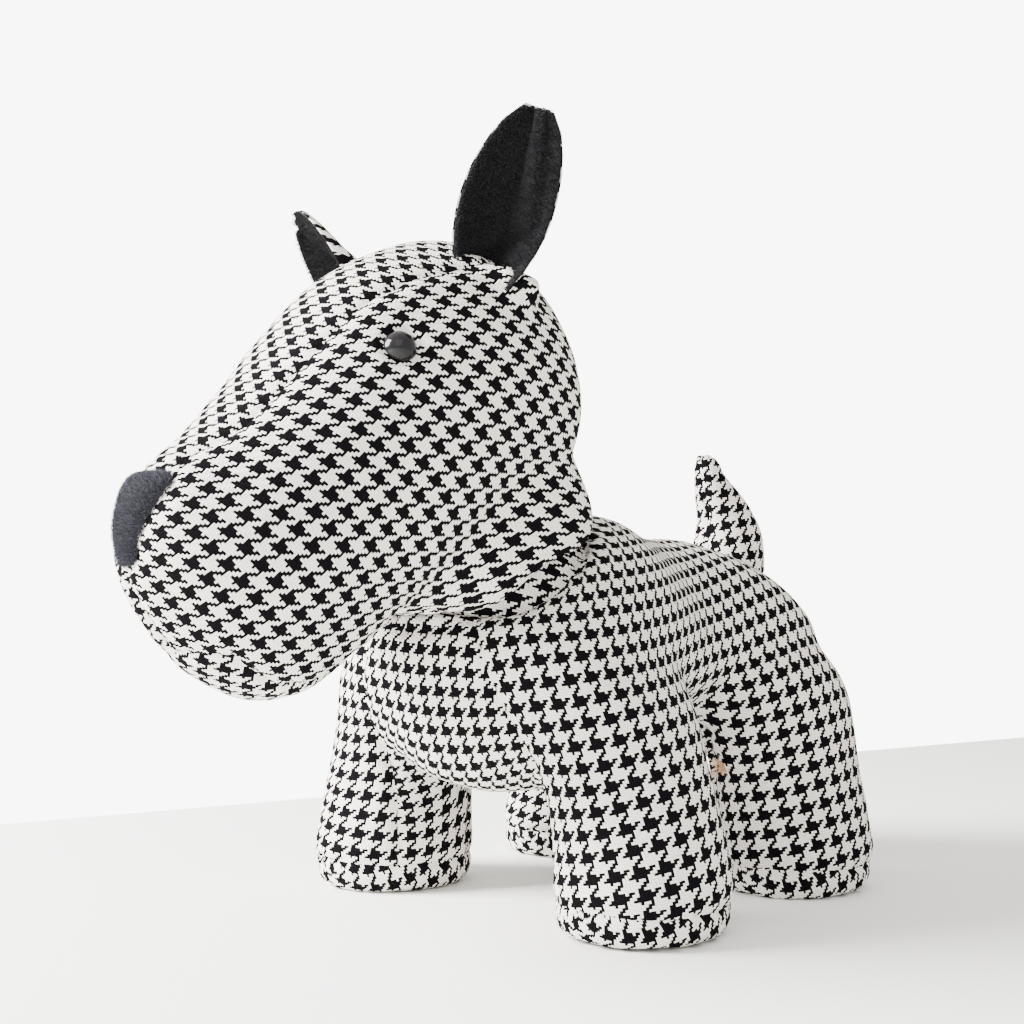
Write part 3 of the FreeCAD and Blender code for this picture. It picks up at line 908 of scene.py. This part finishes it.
def pileTree():
    tree = bpy.data.node_groups.new("pileFibres", "GeometryNodeTree")
    for label, kind in (("Patch", "Geometry"), ("Density", "Float"), ("Length", "Float"),
                        ("Width", "Float"), ("Lean", "Float"), ("Seed", "Int"),
                        ("Finish", "Material")):
        tree.interface.new_socket(name=label, in_out="INPUT", socket_type=f"NodeSocket{kind}")
    tree.interface.new_socket(name="Pile", in_out="OUTPUT", socket_type="NodeSocketGeometry")

    def put(kind, values, **settings):
        node = tree.nodes.new(kind)
        for key, value in settings.items():
            setattr(node, key, value)
        for key, value in values.items():
            if isinstance(value, bpy.types.NodeSocket):
                tree.links.new(value, node.inputs[key])
            else:
                node.inputs[key].default_value = value
        return node.outputs

    start = put("NodeGroupInput", {})
    scatter = put("GeometryNodeDistributePointsOnFaces", {
        "Mesh": start["Patch"], "Density": start["Density"], "Seed": start["Seed"]})
    fibre = put("GeometryNodeMeshCone", {
        "Vertices": 3, "Side Segments": 1, "Radius Top": pileFibre["tip"],
        "Radius Bottom": start["Width"], "Depth": start["Length"]}, fill_type="NONE")
    negative = put("ShaderNodeMath", {0: start["Lean"], 1: -1}, operation="MULTIPLY")[0]
    low = put("ShaderNodeCombineXYZ", {0: negative, 1: negative})
    high = put("ShaderNodeCombineXYZ", {0: start["Lean"], 1: start["Lean"], 2: math.tau})
    tilt = put("FunctionNodeRandomValue", {
        0: low[0], 1: high[0], "Seed": start["Seed"]}, data_type="FLOAT_VECTOR")
    turn = put("FunctionNodeRotateRotation", {
        0: scatter["Rotation"], 1: tilt[0]}, rotation_space="LOCAL")
    vary = put("FunctionNodeRandomValue", {2: pileFibre["least"], 3: pileFibre["most"]})
    plant = put("GeometryNodeInstanceOnPoints", {
        "Points": scatter["Points"], "Instance": fibre["Mesh"],
        "Rotation": turn[0], "Scale": vary[1]})
    real = put("GeometryNodeRealizeInstances", {0: plant[0]})
    finish = put("GeometryNodeSetMaterial", {
        "Geometry": real[0], "Material": start["Finish"]})
    put("NodeGroupOutput", {0: finish[0]})
    return tree


pileFibres = pileTree()


def growPile(patch, settings, material, seed):
    wanted = {
        "Density": settings["density"] * 1e6, "Length": settings["length"] * mm,
        "Width": settings["width"] * mm, "Lean": pileFibre["lean"], "Seed": seed,
        "Finish": material}
    grow = patch.modifiers.new("pile", "NODES")
    grow.node_group = pileFibres
    for socket in pileFibres.interface.items_tree:
        if socket.name in wanted:
            grow[socket.identifier] = wanted[socket.name]
    graph = bpy.context.evaluated_depsgraph_get()
    grown = bpy.data.meshes.new_from_object(patch.evaluated_get(graph))
    patch.modifiers.clear()
    return grown


def addMesh(item, extra):
    bm = opened(item)
    bm.from_mesh(extra)
    bm.to_mesh(item.data)
    bm.free()
    bpy.data.meshes.remove(extra)


def finishNose(nose):
    fibres = growPile(nose, nosePatch, charcoalPile, 11)
    addMesh(nose, fibres)
    dress(nose, charcoalPile, "head", ["nose_patch"])
    print("nose patch", len(nose.data.polygons))


# Ears: cupped leaves, cloth behind and black pile in front, gathered where they are sewn in.

def earFrame(side):
    pivot = Vector(joints[f"ear_{side}_bend"]["pos_m"])
    across = Vector(joints[f"ear_{side}_bend"]["axis"]).normalized()
    co = np.vstack([points(frame["nodes"][f"ear_{part}_{side}"].data)
                    for part in ("back", "inner")])
    tip = Vector(co[np.argmax(np.linalg.norm(co - np.array(pivot), axis=1))])
    leaf = tip - pivot
    leaf = (leaf - across * leaf.dot(across)).normalized()
    behind = leaf.cross(across)
    return Matrix.Translation(pivot) @ Matrix((across, behind, leaf)).transposed().to_4x4()


def earPoint(a, h, depth, cupped):
    widths = earShape["halfWidth"]
    place = h * (len(widths) - 1)
    low = min(int(place), len(widths) - 2)
    share = place - low
    half = widths[low] * (1 - share) + widths[low + 1] * share
    cup = cupped * (1 - h) + earShape["cupTip"] * h
    hug = (1 - h) ** 3
    side = a * half * (1 - (0.010 * cup + 0.12 * hug) * a * a)
    behind = -cup * a * a * (1 + 0.3 * hug) + earShape["ridge"] * math.exp(-(a / 0.13) ** 2)
    behind -= earShape["lean"] * math.sin(math.pi * h)
    fold = earShape["fold"] * math.exp(-((h - 0.2 - 0.18 * a) / 0.07) ** 2)
    behind += fold * math.exp(-((a + 0.1) / 0.6) ** 2)
    behind -= earShape["crease"] * math.exp(-((a - 0.35 + 0.5 * (h - 0.6)) / 0.16) ** 2) * h
    rim = max(0.25, math.sqrt(max(0, 1 - abs(a) ** 5)))
    height = -earShape["sink"] + (earShape["height"] + earShape["sink"]) * h
    return Vector((side, behind + cup * 0.45 + depth * rim, height)) * mm


def earShell(place, cupped, lowDepth, highDepth, hem):
    across, tall = earShape["across"], earShape["tall"]
    bm = bmesh.new()
    weave = bm.loops.layers.uv.new("weave")
    layers = []
    for depth in (lowDepth, highDepth):
        grid = []
        for j in range(tall + 1):
            h = min(j / tall, 0.997) * (1 if hem == 1 else 0.985)
            ring = []
            for i in range(across + 1):
                a = (2 * i / across - 1) * hem
                ring.append(bm.verts.new(place @ earPoint(a, h, depth, cupped)))
            grid.append(ring)
        layers.append(grid)
    flatSpot = {}
    bias = 0.71                  # the leaf is cut at 45 degrees to the yarns
    for grid in layers:
        for j, ring in enumerate(grid):
            for i, vert in enumerate(ring):
                local = place.inverted() @ vert.co * bias
                flatSpot[vert] = (local.x + local.z, local.z - local.x)

    def quad(*verts):
        made = bm.faces.new(verts)
        made.smooth = True
        for loop in made.loops:
            loop[weave].uv = flatSpot[loop.vert]
        return made

    back = []
    for level, grid in enumerate(layers):
        for j in range(tall):
            for i in range(across):
                corners = (grid[j][i], grid[j][i + 1], grid[j + 1][i + 1], grid[j + 1][i])
                made = quad(*(corners if level == 0 else reversed(corners)))
                if level == 0:
                    back.append(made)
    low, high = layers
    loop = [(0, i) for i in range(across + 1)]
    loop += [(j, across) for j in range(1, tall + 1)]
    loop += [(tall, i) for i in range(across - 1, -1, -1)]
    loop += [(j, 0) for j in range(tall - 1, 0, -1)]
    for index, (j, i) in enumerate(loop):
        jj, ii = loop[(index + 1) % len(loop)]
        quad(high[j][i], high[jj][ii], low[jj][ii], low[j][i])
    bmesh.ops.recalc_face_normals(bm, faces=bm.faces)
    return bm, back


def makeEar(side, seed):
    place = earFrame(side)
    cupped = earCups[side]
    backShell, _ = earShell(place, cupped, 0.1, earShape["back"], 1)
    back = newObject(f"earBack{side.title()}", backShell)
    innerShell, front = earShell(place, cupped, -earShape["inner"], 0.0, earShape["hem"])
    patch = bmesh.new()
    fronts = {}
    for face in front:
        corners = []
        for vert in face.verts:
            if vert not in fronts:
                fronts[vert] = patch.verts.new(vert.co)
            corners.append(fronts[vert])
        patch.faces.new(corners)
    inner = newObject(f"earInner{side.title()}", innerShell)
    emitter = newObject("pilePatch", patch)
    fibres = growPile(emitter, earShape, blackPile, seed)
    bpy.data.objects.remove(emitter)
    addMesh(inner, fibres)
    dress(back, houndstooth, None, [f"ear_back_{side}"])
    dress(inner, blackPile, None, [f"ear_inner_{side}"])
    for item in (back, inner):
        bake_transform(item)
    print("ear", side, len(inner.data.polygons))


# Tail: two halves closed by a seam front and back, sewn on at its root.

tailCloth = {
    "voxel": 1.9 * mm, "keepAbove": 400, "smoothing": 3, "pressure": 4, "cap": 2.5 * mm,
    "skin": 1.9 * mm, "depth": 1.1 * mm, "width": 1.5 * mm, "puff": 0.2 * mm,
    "pucker": 0.4 * mm, "sag": 0.4 * mm, "ripple": 0.25 * mm, "fill": 0.85,
    "rootGain": 3.5 * mm,
}


def makeTail():
    item = stuffed("tailCover", ["tail_filling"], tailCloth)
    place = Matrix.Translation(tailPivot)
    co = points(item.data)
    rel = co - np.array(tailPivot)
    gain = tailCloth["rootGain"] * np.clip(1 - np.abs(rel[:, 2] - 5 * mm) / (26 * mm), 0, 1)
    outward = normals(item.data) * (1, 1, 0)
    putPoints(item.data, co + outward * gain[:, None])
    bm = opened(item)
    cutPanel(bm, place, lambda p: True, (0, 0, 0), (1, 0, 0))
    numberPanels(item, bm, place, lambda p: 1 if p.x > 0 else 2)
    layWeave(item, {1: ("left", -6), 2: ("right", 6)})
    refine(item)
    sinkSeams(item, tailCloth)
    dress(item, houndstooth, "tail", ["tail_left", "tail_right", "tail_filling"])
    print("tail stuffed", len(item.data.polygons))


# Neck: the plug of stuffing inside the joint.

neckPlug = {"voxel": 2 * mm, "lumpScale": 120, "lump": 0.6 * mm, "inset": 0.6, "fill": 0.95}


def makeNeck():
    item = newObject("neckPlug", copyOf(["neck_filling"]))
    remeshed(item, neckPlug["voxel"])
    co = points(item.data)
    lump = np.array([noise.noise(Vector(p) * neckPlug["lumpScale"]) for p in co])
    lump = (lump - neckPlug["inset"]) * neckPlug["lump"]
    putPoints(item.data, co + normals(item.data) * lump[:, None])
    dress(item, stuffing, "neck", ["neck_filling"])


# Eyes: a turned dome on a ridged shank.

eyeShape = {"segments": 56, "profile": (
    (0.0, 5.0), (1.2, 4.87), (2.4, 4.46), (3.5, 3.8), (4.5, 2.85), (5.25, 1.75), (5.75, 0.6),
    (5.95, 0.15), (5.9, -0.15), (5.5, -0.3), (2.3, -0.35), (2.15, -1.0), (2.0, -3.4),
    (2.2, -3.7), (2.2, -4.0), (2.0, -5.4), (2.2, -5.7), (2.2, -6.0), (2.0, -13.0), (1.2, -14.2),
    (0.0, -14.6))}


def makeEye(side):
    top, along = eyeFacts(side)
    facing = along.to_track_quat("Z", "Y").to_matrix().to_4x4()
    place = Matrix.Translation(top - along * eyeShape["profile"][0][1] * mm) @ facing
    bm = bmesh.new()
    rings = []
    count = eyeShape["segments"]
    for radius, height in eyeShape["profile"]:
        ring = []
        for step in range(count if radius else 1):
            turn = math.tau * step / count
            spot = Vector((radius * math.cos(turn), radius * math.sin(turn), height)) * mm
            ring.append(bm.verts.new(place @ spot))
        rings.append(ring)
    for first, second in zip(rings, rings[1:]):
        for step in range(count):
            following = (step + 1) % count
            corners = (first[step % len(first)], first[following % len(first)],
                       second[following % len(second)], second[step % len(second)])
            bm.faces.new(dict.fromkeys(corners)).smooth = True
    bmesh.ops.recalc_face_normals(bm, faces=bm.faces)
    eye = newObject(f"eye{side.title()}", bm)
    dress(eye, eyePlastic, "head", [f"eye_{side}"])
    washer = frame["nodes"][f"eye_washer_{side}"]
    washer.data.materials.clear()
    washer.data.materials.append(washerPlastic)


makeBody()
finishNose(makeHead())
for earSide, earSeed in (("left", 3), ("right", 5)):
    makeEar(earSide, earSeed)
makeTail()
makeNeck()
for eyeSide in ("left", "right"):
    makeEye(eyeSide)


# A tuft of loose thread in the fold between belly and haunch.

threadTuft = {"strands": 34, "place": (0.050, 0.030, 0.052), "spread": 3.4, "thick": 0.16}


def makeTuft():
    target = bpy.data.objects["bodyCover"]
    wanted = bodyPlace @ Vector(threadTuft["place"])
    _, root, outward, _ = target.closest_point_on_mesh(wanted)
    curve = bpy.data.curves.new("threadTuft", "CURVE")
    curve.dimensions = "3D"
    curve.bevel_depth = threadTuft["thick"] * mm
    curve.bevel_resolution = 1
    rng = np.random.default_rng(7)
    for _ in range(threadTuft["strands"]):
        spline = curve.splines.new("NURBS")
        spline.points.add(4)
        heading = Vector(rng.normal(0, 1, 3)).normalized() + outward * 0.7
        place = root - outward * 0.6 * mm
        for point in spline.points:
            point.co = (*place, 1)
            wobble = Vector(rng.normal(0, 0.55, 3))
            place = place + (heading + wobble) * threadTuft["spread"] * 0.28 * mm
        spline.order_u = 3
        spline.use_endpoint_u = True
    holder = bpy.data.objects.new("threadTuft", curve)
    collection.objects.link(holder)
    graph = bpy.context.evaluated_depsgraph_get()
    mesh = bpy.data.meshes.new_from_object(holder.evaluated_get(graph))
    bpy.data.objects.remove(holder)
    tuft = bpy.data.objects.new("threadTuft", mesh)
    collection.objects.link(tuft)
    mesh.materials.clear()
    mesh.materials.append(threadFinish)
    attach(tuft, "torso")


makeTuft()


# Floor, light and camera.

studio = {
    "distance": 599 * mm, "azimuth": 40, "height": 124 * mm, "rise": 3.25, "yaw": 2.94,
    "roll": 0.5, "lens": 49.2, "roomLight": 1.6, "wallLight": 8.5,
    "skirting": (-0.315, -0.061), "skirtingRun": (0.212, 0.977),
}


def makeStudio():
    floor = bpy.data.meshes.new("floor")
    reach = 6
    skirt = Vector(studio["skirting"])       # the floor ends along this line
    slope = Vector(studio["skirtingRun"])
    near, far = skirt - slope * reach, skirt + slope * reach
    floor.from_pydata([(near.x, near.y, 0), (reach, near.y, 0), (reach, far.y, 0),
                       (far.x, far.y, 0)], [], [(0, 1, 2, 3)])
    floorObject = bpy.data.objects.new("floor", floor)
    collection.objects.link(floorObject)
    material, shader, w = newMaterial("paleFloor", {"Roughness": 0.7})
    spot = w.node("ShaderNodeTexCoord", None, None, "Object")
    feed(shader, "Base Color", w.mix(
        w.noise(spot, 3.0), (0.90, 0.895, 0.88, 1), (0.93, 0.925, 0.91, 1)))
    floor.materials.append(material)
    world = bpy.data.worlds.new("paleRoom")
    world.use_nodes = True
    w = Wire(world.node_tree, None)
    room = w.node("ShaderNodeBackground", None, {
        "Color": (1, 0.985, 0.96, 1), "Strength": studio["roomLight"]})
    wall = w.node("ShaderNodeBackground", None, {
        "Color": (1, 1, 0.985, 1), "Strength": studio["wallLight"]})
    seen = w.node("ShaderNodeLightPath")
    either = w.node("ShaderNodeMixShader", None, {0: seen, 1: room, 2: wall})
    w.tree.links.new(either.socket, w.tree.nodes["World Output"].inputs["Surface"])
    bpy.context.scene.world = world
    lamps = (
        ("windowLight", (-0.75, -0.95, 0.75), 0.7, 150, (1, 0.99, 0.97)),
        ("frontFill", (0.9, -1.1, 0.9), 1.2, 9, (1, 0.98, 0.95)),
    )
    for name, where, width, power, colour in lamps:
        light = bpy.data.lights.new(name, "AREA")
        light.size = width
        light.energy = power
        light.color = colour
        lamp = bpy.data.objects.new(name, light)
        lamp.location = where
        aim = Vector((0, 0, 0.13)) - Vector(where)
        lamp.rotation_euler = aim.to_track_quat("-Z", "Y").to_euler()
        collection.objects.link(lamp)
    camera = bpy.data.cameras.new("viewCamera")
    camera.lens = studio["lens"]
    camera.sensor_width = 36
    eye = bpy.data.objects.new("viewCamera", camera)
    turn = math.radians(studio["azimuth"])
    focus = bodyPlace.translation
    eye.location = focus + Vector((math.sin(turn) * studio["distance"],
                                   -math.cos(turn) * studio["distance"], studio["height"]))
    heading = turn + math.radians(studio["yaw"])
    facing = Matrix.Rotation(heading, 4, "Z") @ Matrix.Rotation(
        math.radians(90 + studio["rise"]), 4, "X") @ Matrix.Rotation(
        math.radians(studio["roll"]), 4, "Z")
    eye.rotation_euler = facing.to_euler()
    collection.objects.link(eye)
    bpy.context.scene.camera = eye


makeStudio()
print("studio set")
